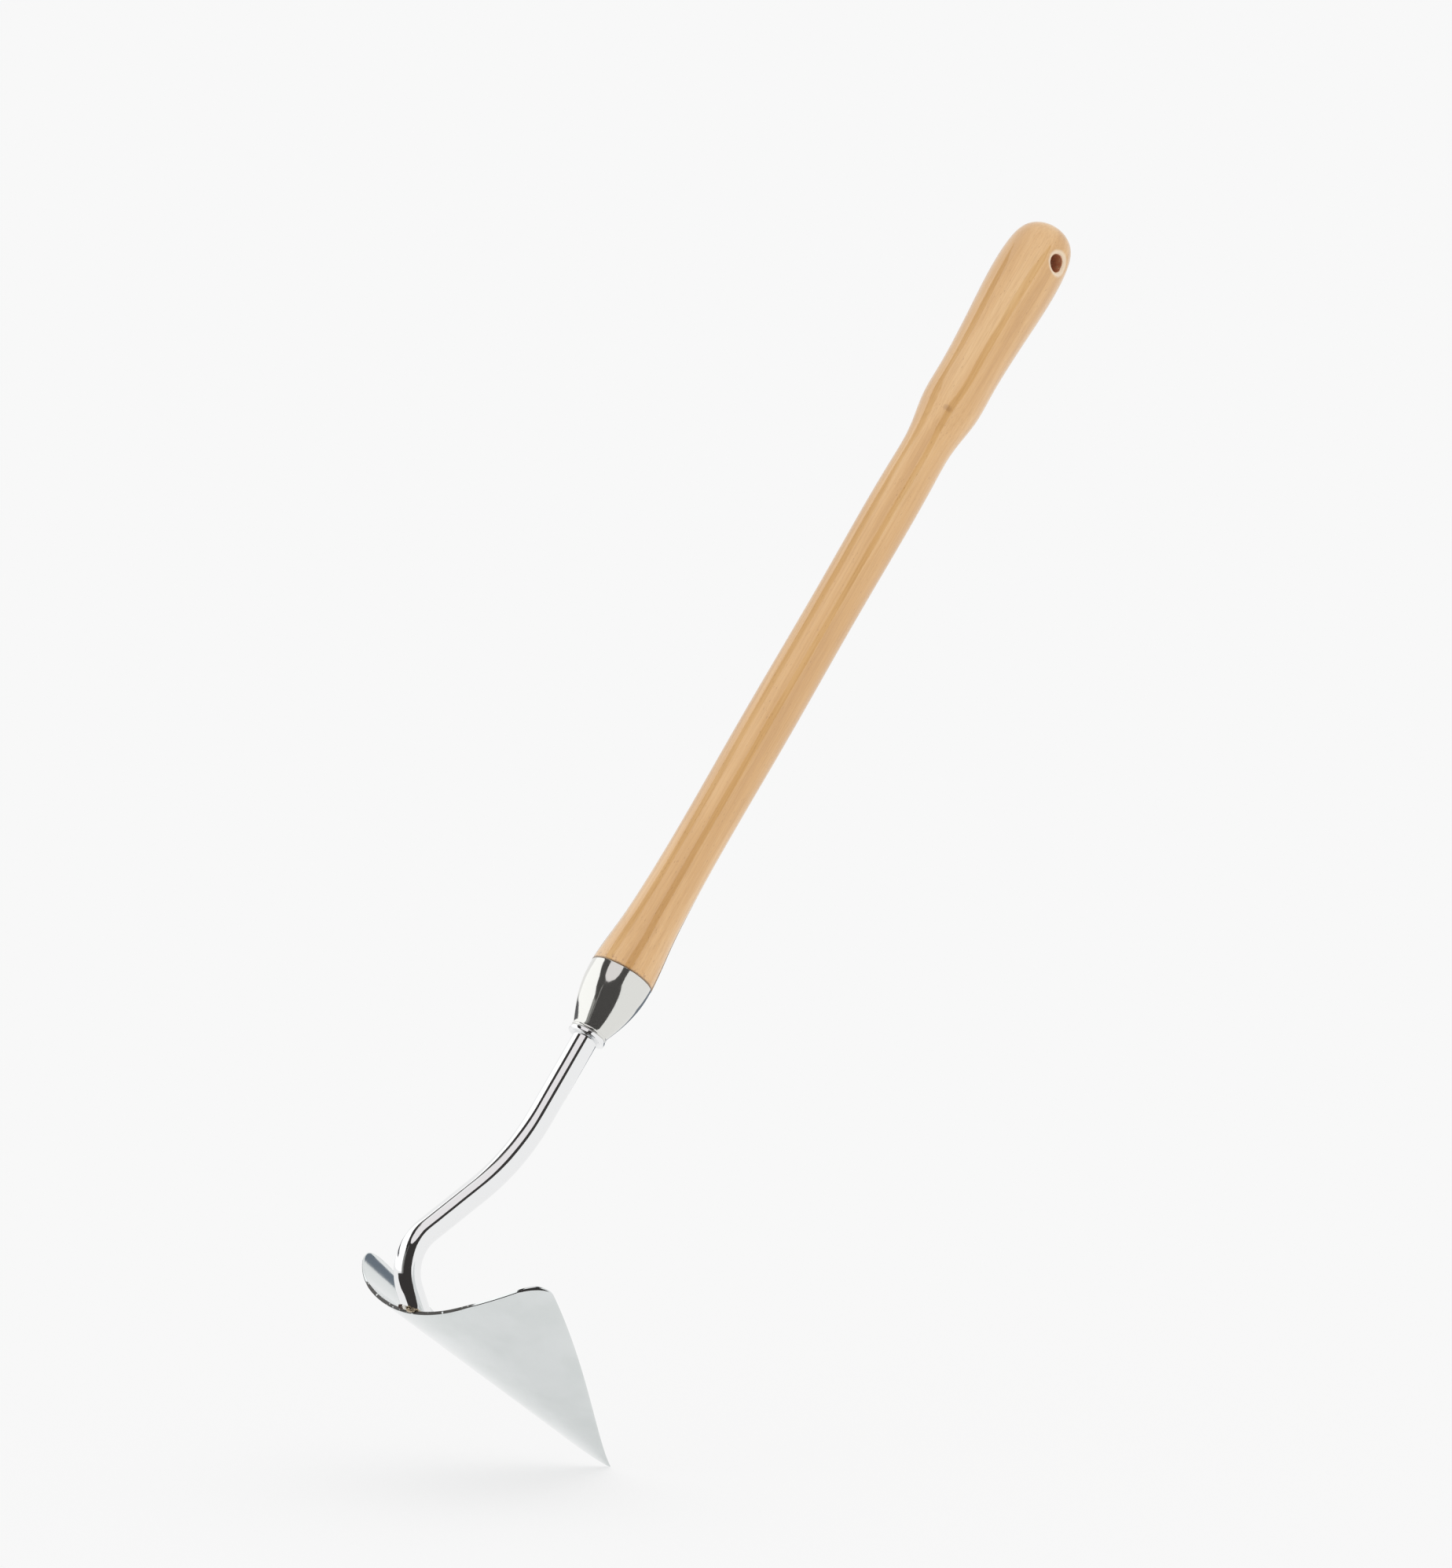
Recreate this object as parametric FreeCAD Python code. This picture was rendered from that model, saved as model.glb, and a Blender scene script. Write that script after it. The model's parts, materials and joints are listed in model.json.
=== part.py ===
"""Draw hoe with a pointed, dished blade on a swan neck and a turned wooden handle.

The tool is built standing upright: the handle's axis is +Z, the blade points to +X, and the
seat of the ferrule on its stop collar is the origin. It is then leaned over and stood on the
blade's point, with the origin on the ground under the middle of its box. Millimetres.
"""

import FreeCAD, Part
import math
import os

V = FreeCAD.Vector

# ---- pose ---------------------------------------------------------------------------------
LEAN = 36.25                 # handle's lean from upright, towards the blade's point (degrees)

# ---- blade: plate bent to part of a cone, widest at the neck, pointed at the far end -------
PLATE = 1.8                  # plate thickness
KEEL_DROP = 160.8            # from the collar down to the blade's outer face, on the centre line
BACK_X = -9.7                # back edge on the centre line
POINT_X = 135.1              # point
CORNER_X = -1.0              # back corners, before they are rounded
BLADE_WIDTH = 153.0
BACK_FLAT = 70.0             # straight middle of the back edge
BACK_BEND = 109.4            # outer bend radius at the back edge
POINT_BEND = 48.9            # outer bend radius at the point
SIDE_BOW = 5.7               # how far each cutting edge bows out from straight
CORNER_ROUND = 11.0
POINT_ROUND = 1.8
BEVEL_WIDTH = 5.0            # ground on the hollow side, along both cutting edges
BEVEL_DEPTH = 1.2
BEVEL_STATIONS = 9
BEVEL_PAST_EDGE = 0.6        # how far its cutter runs on past the edge, and past the flat face,
BEVEL_PAST_FACE = 0.1        # as shares of the bevel's own width
BEVEL_CLEAR = 8.0            # height of the cutter above the plate

# ---- neck: one length of round bar ---------------------------------------------------------
BAR = 12.7                   # half-inch bar
TANG_TOP = 98.0              # end of the tang inside the handle
SWEEP_START = -45.5          # where the bar leaves the handle's axis
SWEEP_RADIUS = 120.0
SWEEP_ANGLE = 23.1
SWAN_START = 33.8            # straight stretch between the two bends
SWAN_RADIUS = 22.4
FOOT_ANGLE = 34.0            # slope of the bar where it lands on the blade
FOOT_RUN = 24.0              # straight end of the bar, before it is mitred to the blade
WELD_LEG = 2.6               # weld fillet, along the bar and along the plate

# ---- stop collar and ferrule ---------------------------------------------------------------
COLLAR_RADIUS = 9.5
COLLAR_THICK = 2.4
COLLAR_CHAMFER = 0.7
COLLAR_DISH = 1.5            # width and depth of the recess round the bar, under the collar
FERRULE_WALL = 1.2
FERRULE_MOUTH = 34.75        # where the ferrule ends against the handle's shoulder
FERRULE_LIP = 0.9            # radius of the rolled lip at the small end
LIP_BITE = 0.1               # how far the middle of the roll stands inside the wall's outside

# ---- handle --------------------------------------------------------------------------------
HANDLE_END = 487.0
CROWN = [(5.2, 12.6), (1.1, 6.4), (0.0, 0.0)]    # rounded end: depth below the top, radius
BORE = 14.2                  # hole for the tang
BORE_TOP = 101.0
TENON_FACE = 6.0             # where the tenon starts, inside the ferrule
HOLE_HEIGHT = 466.7
HOLE_RADIUS = 4.5
HOLE_TURN = 10.0             # hole's turn about the handle's axis, from square to the blade
HOLE_WALL = 30.4             # length of the plain hole between its two countersinks
COUNTERSINK = 4.0            # depth of the cone that opens each mouth, cut past the surface

# ---- cutting allowances --------------------------------------------------------------------
SPARE = 5.0                  # how far a cutter reaches past what it trims
NECK_REACH = 40.0            # how far the neck stands out behind the blade's back edge
ROOM = 400.0                 # side of a box that holds the upper neck and the tang
ROOM_FLOOR = -100.0          # above this height the neck is never trimmed
WELD_ROOM = 60.0             # side of a box that holds the weld

# Outer profile of the ferrule from the lip to the mouth: height, radius.
FERRULE_PROFILE = [(1.8, 8.5), (7.3, 10.8), (12.7, 12.8), (20.2, 14.85), (28.0, 16.0),
                   (FERRULE_MOUTH, 16.15)]

# Turned profile of the handle from the ferrule to the start of the rounded end: height, radius.
HANDLE_PROFILE = [(FERRULE_MOUTH, 16.35), (46.8, 15.4), (58.0, 14.25), (76.0, 13.15),
                  (92.0, 12.65), (176.0, 12.65), (260.0, 12.4), (335.0, 12.4), (353.0, 12.45),
                  (362.5, 13.6), (373.0, 15.1), (392.0, 15.25), (410.0, 15.6), (428.0, 16.5),
                  (445.0, 17.4), (457.0, 17.6), (469.0, 16.9)]

HALF_WIDTH = BLADE_WIDTH / 2
BAR_RADIUS = BAR / 2
COLLAR_TOP = COLLAR_THICK / 2


def spline(points):
    """Smooth edge through a few points in the XZ plane."""
    curve = Part.BSplineCurve()
    curve.interpolate([V(x, 0, z) for x, z in points])
    return curve.toShape()


def line(a, b):
    return Part.LineSegment(a, b).toShape()


def arc(a, middle, b):
    return Part.Arc(a, middle, b).toShape()


def spin(edges):
    """Turn a closed outline in the XZ plane into a solid of revolution about Z."""
    face = Part.Face(Part.Wire(edges))
    return Part.makeSolid(face.revolve(V(0, 0, 0), V(0, 0, 1), 360).Shells[0])


def spin_polygon(points):
    corners = [V(x, 0, z) for x, z in points]
    return spin([line(a, b) for a, b in zip(corners, corners[1:] + corners[:1])])


def bend_radius(x):
    """Outer bend radius of the plate at a station along the keel."""
    share = (x - BACK_X) / (POINT_X - BACK_X)
    return BACK_BEND + (POINT_BEND - BACK_BEND) * share


def bend_cone(x_from, x_to, raised):
    """Solid cone whose skin is the plate's face, raised from the outer face by a distance."""
    rings = []
    for x in (x_from, x_to):
        radius = bend_radius(x) - raised
        centre = V(x, 0, -KEEL_DROP + raised + radius)
        rings.append(Part.Wire(Part.Circle(centre, V(1, 0, 0), radius).toShape()))
    return Part.makeLoft(rings, True, True)


def side_middle(side):
    """Middle point of a bowed cutting edge, seen from above."""
    corner = V(CORNER_X, side * HALF_WIDTH, 0)
    point = V(POINT_X, 0, 0)
    along = point - corner
    outward = V(-along.y * side, along.x * side, 0)
    outward.normalize()
    return (corner + point) * 0.5 + outward * SIDE_BOW


def back_middle(side):
    """Middle point of the arc that joins the flat of the back edge to a corner."""
    rise = CORNER_X - BACK_X
    run = HALF_WIDTH - BACK_FLAT / 2
    radius = (run * run + rise * rise) / (2 * rise)
    half_turn = math.asin(run / radius) / 2
    y = BACK_FLAT / 2 + radius * math.sin(half_turn)
    return V(BACK_X + radius * (1 - math.cos(half_turn)), side * y, 0)


def blade_column():
    """Upright column with the blade's outline as seen from above, corners rounded."""
    left_corner = V(CORNER_X, -HALF_WIDTH, 0)
    left_flat = V(BACK_X, -BACK_FLAT / 2, 0)
    right_flat = V(BACK_X, BACK_FLAT / 2, 0)
    right_corner = V(CORNER_X, HALF_WIDTH, 0)
    point = V(POINT_X, 0, 0)
    outline = [line(left_flat, right_flat),
               arc(right_flat, back_middle(1), right_corner),
               arc(right_corner, side_middle(1), point),
               arc(point, side_middle(-1), left_corner),
               arc(left_corner, back_middle(-1), left_flat)]
    column = Part.Face(Part.Wire(outline)).extrude(V(0, 0, KEEL_DROP / 2))
    column.translate(V(0, 0, -KEEL_DROP - SPARE))
    corners = [edge for edge in column.Edges if upright_at(edge, CORNER_X)]
    column = column.makeFillet(CORNER_ROUND, corners)
    tips = [edge for edge in column.Edges if upright_at(edge, POINT_X)]
    return column.makeFillet(POINT_ROUND, tips)


def upright_at(edge, x):
    ends = [vertex.Point for vertex in edge.Vertexes]
    if len(ends) != 2:
        return False
    upright = abs(ends[0].z - ends[1].z) > 1 and abs(ends[0].x - ends[1].x) < 1e-6
    return upright and abs(ends[0].x - x) < 1e-3


def plate_point(place, raised):
    """Point over a place in the plan, on the plate's outer face or raised from it."""
    radius = bend_radius(place.x) - raised
    height = radius - math.sqrt(radius * radius - place.y * place.y)
    return V(place.x, place.y, -KEEL_DROP + raised + height)


def bevel_cutter(side):
    """Wedge that follows one cutting edge and grinds the hollow face down to it."""
    edge = Part.Arc(V(CORNER_X, side * HALF_WIDTH, 0), side_middle(side), V(POINT_X, 0, 0))
    sections = []
    for step in range(BEVEL_STATIONS):
        share = step / (BEVEL_STATIONS - 1)
        at = edge.FirstParameter + (edge.LastParameter - edge.FirstParameter) * share
        along = edge.tangent(at)[0]
        inward = V(along.y, -along.x, 0) * side
        on_edge = plate_point(edge.value(at), PLATE - BEVEL_DEPTH)
        on_face = plate_point(edge.value(at) + inward * BEVEL_WIDTH, PLATE)
        slope = on_face - on_edge
        low = on_edge - slope * BEVEL_PAST_EDGE
        high = on_face + slope * BEVEL_PAST_FACE
        lift = V(0, 0, BEVEL_CLEAR)
        corners = [low, high, high + lift, low + lift, low]
        sections.append(Part.makePolygon(corners))
    return Part.makeLoft(sections, True, False)


def make_blade():
    outer = bend_cone(BACK_X - SPARE, POINT_X + SPARE, 0)
    inner = bend_cone(BACK_X - SPARE, POINT_X + SPARE, PLATE)
    plate = outer.cut(inner).common(blade_column())
    return plate.cut(bevel_cutter(-1)).cut(bevel_cutter(1)).Solids[0]


def neck_path():
    """Centre line of the bar, from the top of the tang to beyond the blade's face."""
    sweep = math.radians(SWEEP_ANGLE)
    foot = math.radians(FOOT_ANGLE)

    def on_sweep(angle):
        return V(-SWEEP_RADIUS * (1 - math.cos(angle)), 0,
                 SWEEP_START - SWEEP_RADIUS * math.sin(angle))

    top = V(0, 0, TANG_TOP)
    sweep_from = V(0, 0, SWEEP_START)
    sweep_to = on_sweep(sweep)
    down = V(-math.sin(sweep), 0, -math.cos(sweep))
    swan_from = sweep_to + down * SWAN_START
    swan_centre = swan_from + V(math.cos(sweep), 0, -math.sin(sweep)) * SWAN_RADIUS

    def on_swan(heading):
        """Heading is the bar's slope: -90 degrees is straight down, 0 is level."""
        return swan_centre - V(-math.sin(heading), 0, math.cos(heading)) * SWAN_RADIUS

    swan_to = on_swan(-foot)
    swan_middle = on_swan((-foot - math.pi / 2 - sweep) / 2)
    end = swan_to + V(math.cos(foot), 0, -math.sin(foot)) * FOOT_RUN
    return [line(top, sweep_from), arc(sweep_from, on_sweep(sweep / 2), sweep_to),
            line(sweep_to, swan_from), arc(swan_from, swan_middle, swan_to), line(swan_to, end)]


def bar_along(edges, radius):
    path = Part.Wire(edges)
    start = path.Edges[0].Vertexes[0].Point
    circle = Part.Wire(Part.Circle(start, V(0, 0, 1), radius).toShape())
    return path.makePipeShell([circle], True, False)


def above_plate():
    """Everything inside the bend of the plate's hollow face, carried on past the back edge."""
    return bend_cone(BACK_X - NECK_REACH, POINT_X, PLATE)


def make_neck():
    room = Part.makeBox(ROOM, ROOM, ROOM, V(-ROOM / 2, -ROOM / 2, ROOM_FLOOR))
    return bar_along(neck_path(), BAR_RADIUS).common(room.fuse(above_plate())).Solids[0]


def make_neck_weld(neck):
    """Fillet of weld round the foot of the bar, on the plate only."""
    foot = bar_along(neck_path(), BAR_RADIUS + WELD_LEG)
    layer = above_plate().cut(bend_cone(BACK_X - NECK_REACH, POINT_X, PLATE + WELD_LEG))
    corner = V(BACK_X, -WELD_ROOM / 2, -KEEL_DROP - SPARE)
    on_plate = Part.makeBox(WELD_ROOM, WELD_ROOM, WELD_ROOM, corner)
    ring = foot.common(layer).common(on_plate).cut(neck)
    return max(ring.Solids, key=lambda solid: solid.Volume)


def make_stop_collar():
    low = -COLLAR_TOP
    return spin_polygon([(BAR_RADIUS, COLLAR_TOP), (BAR_RADIUS, low + COLLAR_DISH),
                         (BAR_RADIUS + COLLAR_DISH, low),
                         (COLLAR_RADIUS - COLLAR_CHAMFER, low),
                         (COLLAR_RADIUS, low + COLLAR_CHAMFER), (COLLAR_RADIUS, COLLAR_TOP)])


def make_ferrule():
    """Spun bell of even wall, with a rolled lip that rests on the collar."""
    outside = [(radius, height) for height, radius in FERRULE_PROFILE]
    inside = [(radius - FERRULE_WALL, height) for radius, height in outside]
    low, mouth = outside[0], outside[-1]
    low_in, mouth_in = inside[0], inside[-1]
    bell = spin([spline(outside), line(V(mouth[0], 0, mouth[1]), V(mouth_in[0], 0, mouth_in[1])),
                 spline(inside), line(V(low_in[0], 0, low_in[1]), V(low[0], 0, low[1]))])
    lip_height = COLLAR_TOP + FERRULE_LIP
    lip_radius = low[0] - LIP_BITE
    lip = Part.makeTorus(lip_radius, FERRULE_LIP, V(0, 0, lip_height), V(0, 0, 1))
    return bell.fuse(lip).removeSplitter().Solids[0]


def make_handle():
    shoulder = HANDLE_PROFILE[0]
    tenon = [(radius - FERRULE_WALL, height) for height, radius in FERRULE_PROFILE]
    tenon = [point for point in tenon if point[1] > TENON_FACE]
    outside = [(radius, height) for height, radius in HANDLE_PROFILE]
    outside += [(radius, HANDLE_END - depth) for depth, radius in CROWN]
    low = tenon[0]
    mouth = tenon[-1]
    centre = V(0, 0, low[1])
    blank = spin([line(centre, V(low[0], 0, low[1])), spline(tenon),
                  line(V(mouth[0], 0, mouth[1]), V(shoulder[1], 0, shoulder[0])),
                  spline(outside), line(V(0, 0, HANDLE_END), centre)])
    bore = Part.makeCylinder(BORE / 2, BORE_TOP, V(0, 0, 0))
    return blank.cut(bore).cut(hang_hole()).Solids[0]


def hang_hole():
    """Cutter for the cross hole: a plain bore with a 45 degree countersink at each mouth."""
    half = HOLE_WALL / 2
    wide = HOLE_RADIUS + COUNTERSINK
    cutter = Part.makeCylinder(HOLE_RADIUS, HOLE_WALL, V(0, -half, 0), V(0, 1, 0))
    for way in (-1, 1):
        cone = Part.makeCone(HOLE_RADIUS, wide, COUNTERSINK, V(0, way * half, 0), V(0, way, 0))
        cutter = cutter.fuse(cone)
    cutter.rotate(V(0, 0, 0), V(0, 0, 1), HOLE_TURN)
    cutter.translate(V(0, 0, HOLE_HEIGHT))
    return cutter


def make_tang_resin(neck):
    """Set resin that fills the bore of the handle round and above the tang."""
    fill = Part.makeCylinder(BORE / 2, BORE_TOP - TENON_FACE, V(0, 0, TENON_FACE))
    return fill.cut(neck).Solids[0]


def stand(shape):
    leaned = shape.copy()
    leaned.rotate(V(0, 0, 0), V(0, 1, 0), LEAN)
    return leaned


def main():
    neck = make_neck()
    pieces = {"blade": make_blade(),
              "neck": neck,
              "neck_weld": make_neck_weld(neck),
              "stop_collar": make_stop_collar(),
              "ferrule": make_ferrule(),
              "tang_resin": make_tang_resin(neck),
              "handle": make_handle()}
    pieces = {name: stand(shape) for name, shape in pieces.items()}
    box = Part.makeCompound(list(pieces.values())).optimalBoundingBox(False, False)
    ground = V(-(box.XMin + box.XMax) / 2, 0, -box.ZMin)
    os.makedirs("parts", exist_ok=True)
    for name, shape in pieces.items():
        shape.translate(ground)
        shape.exportStep("parts/" + name + ".step")
        print(name, "solids", len(shape.Solids), "valid", shape.isValid(),
              "volume", round(shape.Volume))
    print("moved by", ground, "box", box.XLength, box.YLength, box.ZLength)


main()
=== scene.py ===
"""Studio scene of a draw hoe: a dished, pointed blade welded to a swan neck of bright round bar,
with a stop collar, a spun ferrule and a turned and varnished beech handle.

Shapes are worked out in millimetres in the tool's own upright frame (handle axis up, blade
forward, seat of the ferrule at zero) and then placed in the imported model's frame.
"""

import json
import math
import random

import bmesh
import bpy
import numpy as np
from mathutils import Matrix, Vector, noise


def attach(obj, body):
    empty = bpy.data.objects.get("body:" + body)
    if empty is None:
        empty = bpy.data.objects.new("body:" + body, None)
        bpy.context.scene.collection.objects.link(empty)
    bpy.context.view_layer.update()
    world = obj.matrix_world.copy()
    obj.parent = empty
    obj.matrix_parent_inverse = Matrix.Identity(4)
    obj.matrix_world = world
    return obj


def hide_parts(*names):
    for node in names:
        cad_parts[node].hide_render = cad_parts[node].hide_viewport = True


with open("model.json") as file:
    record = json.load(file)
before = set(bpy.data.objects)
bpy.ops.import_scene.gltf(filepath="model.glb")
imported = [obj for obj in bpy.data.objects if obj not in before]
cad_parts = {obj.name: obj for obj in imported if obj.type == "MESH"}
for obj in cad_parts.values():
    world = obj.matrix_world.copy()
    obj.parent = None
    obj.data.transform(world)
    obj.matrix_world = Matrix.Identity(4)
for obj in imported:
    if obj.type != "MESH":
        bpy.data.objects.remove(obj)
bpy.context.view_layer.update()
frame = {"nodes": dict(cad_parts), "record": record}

MM = 0.001

# ---- pose ---------------------------------------------------------------------------------
LEAN = math.radians(36.25)
FORE = Vector((math.cos(LEAN), 0, -math.sin(LEAN)))
SIDE = Vector((0, 1, 0))
UP = Vector((math.sin(LEAN), 0, math.cos(LEAN)))

# ---- blade --------------------------------------------------------------------------------
PLATE = 1.8
KEEL_DROP = 160.8
BACK_X = -9.7
POINT_X = 135.1
CORNER_X = -1.0
HALF_WIDTH = 76.5
BACK_FLAT = 35.0             # half of the straight middle of the back edge
BACK_BEND = 109.4
POINT_BEND = 48.9
SIDE_BOW = 5.7
CORNER_ROUND = 11.0
POINT_ROUND = 1.8
BEVEL_WIDTH = 5.0
BEVEL_DEPTH = 1.2
RIM_ROUND = 0.75             # softened edges of the plate
RIM_SHARE = 0.45             # most of the plate's thickness that one softened edge takes

# ---- neck ---------------------------------------------------------------------------------
BAR_RADIUS = 6.35
TANG_TOP = 98.0
SWEEP_START = -45.5
SWEEP_RADIUS = 120.0
SWEEP_ANGLE = math.radians(23.1)
SWAN_START = 33.8
SWAN_RADIUS = 22.4
FOOT_ANGLE = math.radians(34.0)
FOOT_RUN = 24.0
TANG_CHAMFER = 0.8
MITRE_LEAD = 6.0             # the foot's rings begin to tilt this far into the swan bend
BEAD_RADIUS = 1.1
HEEL_LUMPS = [               # place, half width along the plate's edge, half height
    (-10.9, 4.9, -158.9, 1.7, 1.15), (-11.4, 3.2, -158.5, 1.5, 1.2),
    (-12.3, 1.5, -159.4, 1.5, 1.2), (-12.9, 0.0, -158.6, 1.4, 1.2),
    (-12.6, -1.4, -159.5, 1.5, 1.1), (-12.2, -3.0, -158.2, 1.4, 1.1),
    (-11.4, -3.4, -160.0, 1.9, 0.9), (-10.6, -4.9, -159.2, 1.4, 0.9)]

# ---- collar and ferrule -------------------------------------------------------------------
COLLAR_RADIUS = 9.5
COLLAR_TOP = 1.2
COLLAR_DISH = 1.5
FERRULE_WALL = 1.2
FERRULE_MOUTH = 34.75
LIP_RADIUS = 0.9
LIP_RING = 8.4
FERRULE_PROFILE = [(8.5, 1.8), (10.8, 7.3), (12.8, 12.7), (14.85, 20.2), (16.0, 28.0),
                   (16.15, FERRULE_MOUTH)]

# ---- handle -------------------------------------------------------------------------------
HANDLE_END = 487.0
BORE_RADIUS = 7.1
BORE_TOP = 101.0
TENON_FACE = 6.0
HOLE_HEIGHT = 466.7
HOLE_RADIUS = 4.5
HOLE_TURN = math.radians(10)
DRILL_REACH = (-30, -20, -10, 0, 10, 20, 30)
KNOT = (-8.2, -11.7, 368.0)  # middle of the small dark knot at the start of the grip
DISH_RADIUS = 8.6            # smooth dish round each mouth of the hole
DISH_DEPTH = 2.6
HANDLE_PROFILE = [(16.35, FERRULE_MOUTH), (15.4, 46.8), (14.25, 58.0), (13.15, 76.0),
                  (12.65, 92.0), (12.65, 176.0), (12.4, 260.0), (12.4, 335.0), (12.45, 353.0),
                  (13.6, 362.5), (15.1, 373.0), (15.25, 392.0), (15.6, 410.0), (16.5, 428.0),
                  (17.4, 445.0), (17.6, 457.0), (16.9, 469.0), (12.6, HANDLE_END - 5.2),
                  (6.4, HANDLE_END - 1.1), (0.0, HANDLE_END)]

HANG_HOLE = next(m for m in frame["record"]["mounts"] if m["name"] == "hang_hole")
SEAT = Vector(HANG_HOLE["pos_m"]) - UP * (HOLE_HEIGHT * MM)


def place(x, y, z):
    """Point of the upright tool, in millimetres, put in the model's frame."""
    return SEAT + (FORE * x + SIDE * y + UP * z) * MM


# ==== shapes ===============================================================================

def smooth_curve(points, step):
    """Natural cubic spline through a few points, as points about one step apart."""
    knots = np.array(points, float)
    gaps = np.linalg.norm(np.diff(knots, axis=0), axis=1)
    count = len(knots)
    system = np.zeros((count, count))
    right = np.zeros((count, 2))
    system[0, 0] = system[-1, -1] = 1
    for i in range(1, count - 1):
        system[i, i - 1:i + 2] = gaps[i - 1], 2 * (gaps[i - 1] + gaps[i]), gaps[i]
        rise = (knots[i + 1] - knots[i]) / gaps[i] - (knots[i] - knots[i - 1]) / gaps[i - 1]
        right[i] = 6 * rise
    bend = np.linalg.solve(system, right)
    made = []
    for i, gap in enumerate(gaps):
        steps = max(1, round(gap / step))
        for t in np.arange(steps) * gap / steps:
            s = gap - t
            made.append((bend[i] * s ** 3 + bend[i + 1] * t ** 3) / (6 * gap)
                        + (knots[i] / gap - bend[i] * gap / 6) * s
                        + (knots[i + 1] / gap - bend[i + 1] * gap / 6) * t)
    made.append(knots[-1])
    return [tuple(float(v) for v in point) for point in made]


def round_corners(points, radius, closed=True, steps=4):
    """Polygon with each corner replaced by a short arc that starts a radius before it."""
    corners = [Vector(point) for point in points]
    made = []
    for i, corner in enumerate(corners):
        if not closed and i in (0, len(corners) - 1):
            made.append(tuple(corner))
            continue
        before = corners[i - 1] - corner
        after = corners[(i + 1) % len(corners)] - corner
        reach = min(radius, before.length * 0.45, after.length * 0.45)
        start = corner + before.normalized() * reach
        end = corner + after.normalized() * reach
        for k in range(steps + 1):
            t = k / steps
            made.append(tuple(start * (1 - t) ** 2 + corner * 2 * t * (1 - t) + end * t * t))
    return made


def skin(name, rings, loop=False, cap=False):
    """Mesh over rings of points; one point is a pole, and loop joins the last ring to the first."""
    mesh = bmesh.new()
    rows = [[mesh.verts.new(point) for point in ring] for ring in rings]
    pairs = list(zip(rows, rows[1:]))
    if loop:
        pairs.append((rows[-1], rows[0]))
    for low, high in pairs:
        count = max(len(low), len(high))
        for i in range(count):
            j = (i + 1) % count
            corners = [low[i % len(low)], low[j % len(low)],
                       high[j % len(high)], high[i % len(high)]]
            mesh.faces.new(list(dict.fromkeys(corners)))
    if cap:
        mesh.faces.new(rows[0])
        mesh.faces.new(rows[-1])
    return finish_mesh(name, mesh)


def finish_mesh(name, mesh, sharp=32):
    """Turns a bmesh into a scene object with smooth faces and edges split where it folds."""
    bmesh.ops.recalc_face_normals(mesh, faces=mesh.faces)
    data = bpy.data.meshes.new(name)
    mesh.to_mesh(data)
    mesh.free()
    data.shade_smooth()
    data.set_sharp_from_angle(angle=math.radians(sharp))
    piece = bpy.data.objects.new(name, data)
    bpy.context.scene.collection.objects.link(piece)
    return piece


def turn_on_lathe(name, profile, segments, loop=False):
    """Solid of revolution about the handle's axis from (radius, height) points."""
    rings = []
    for radius, height in profile:
        if radius < 1e-6:
            rings.append([place(0, 0, height)])
            continue
        angles = [2 * math.pi * i / segments for i in range(segments)]
        rings.append([place(radius * math.cos(a), radius * math.sin(a), height) for a in angles])
    return skin(name, rings, loop=loop)


# ---- blade --------------------------------------------------------------------------------

def bend_radius(x):
    """Outer bend radius of the plate at a station along the keel."""
    return BACK_BEND + (POINT_BEND - BACK_BEND) * (x - BACK_X) / (POINT_X - BACK_X)


def plate_height(x, y, raised):
    """Height of the plate's outer face over a place in the plan, or of a skin raised from it."""
    radius = bend_radius(x) - raised
    return -KEEL_DROP + raised + radius - math.sqrt(radius * radius - y * y)


def arc_between(start, end, sagitta, steps):
    """Points and outward normals along an arc, bulging to the left of start-to-end."""
    chord = end - start
    half = chord.length / 2
    radius = (half * half + sagitta * sagitta) / (2 * sagitta)
    left = Vector((-chord.y, chord.x)).normalized()
    centre = (start + end) / 2 - left * (radius - sagitta)
    first = math.atan2(*(start - centre).yx)
    last = math.atan2(*(end - centre).yx)
    made = []
    for k in range(steps + 1):
        angle = first + (last - first) * k / steps
        normal = Vector((math.cos(angle), math.sin(angle)))
        made.append((centre + normal * radius, normal))
    return made, centre, radius


def half_outline():
    """Half of the blade's plan: places and outward normals from the back flat to the point."""
    flat_end = Vector((BACK_X, BACK_FLAT))
    corner = Vector((CORNER_X, HALF_WIDTH))
    point = Vector((POINT_X, 0))
    rise = CORNER_X - BACK_X
    run = HALF_WIDTH - BACK_FLAT
    back_radius = (run * run + rise * rise) / (2 * rise)
    half_chord_squared = (flat_end - corner).length_squared / 4
    back_sagitta = back_radius - math.sqrt(back_radius ** 2 - half_chord_squared)
    back, _, _ = arc_between(flat_end, corner, back_sagitta, 40)
    side, side_centre, side_radius = arc_between(corner, point, SIDE_BOW, 150)
    back_centre = Vector((BACK_X + back_radius, BACK_FLAT))
    corner_centre = circle_meeting(back_centre, back_radius - CORNER_ROUND,
                                   side_centre, side_radius - CORNER_ROUND, corner)
    tip_x = side_centre.x + math.sqrt((side_radius - POINT_ROUND) ** 2 - side_centre.y ** 2)
    tip_centre = Vector((tip_x, 0))
    start = (corner_centre - back_centre).normalized()
    finish = (corner_centre - side_centre).normalized()
    tip_start = (tip_centre - side_centre).normalized()
    outline = [(spot, n) for spot, n in back if n.y < start.y]
    outline += round_between(corner_centre, CORNER_ROUND, start, finish, 16)
    outline += [(spot, n) for spot, n in side
                if n.y < finish.y - 1e-6 and n.y > tip_start.y + 1e-6]
    outline += round_between(tip_centre, POINT_ROUND, tip_start, Vector((1, 0)), 6)
    return outline, side_centre, side_radius


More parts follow.
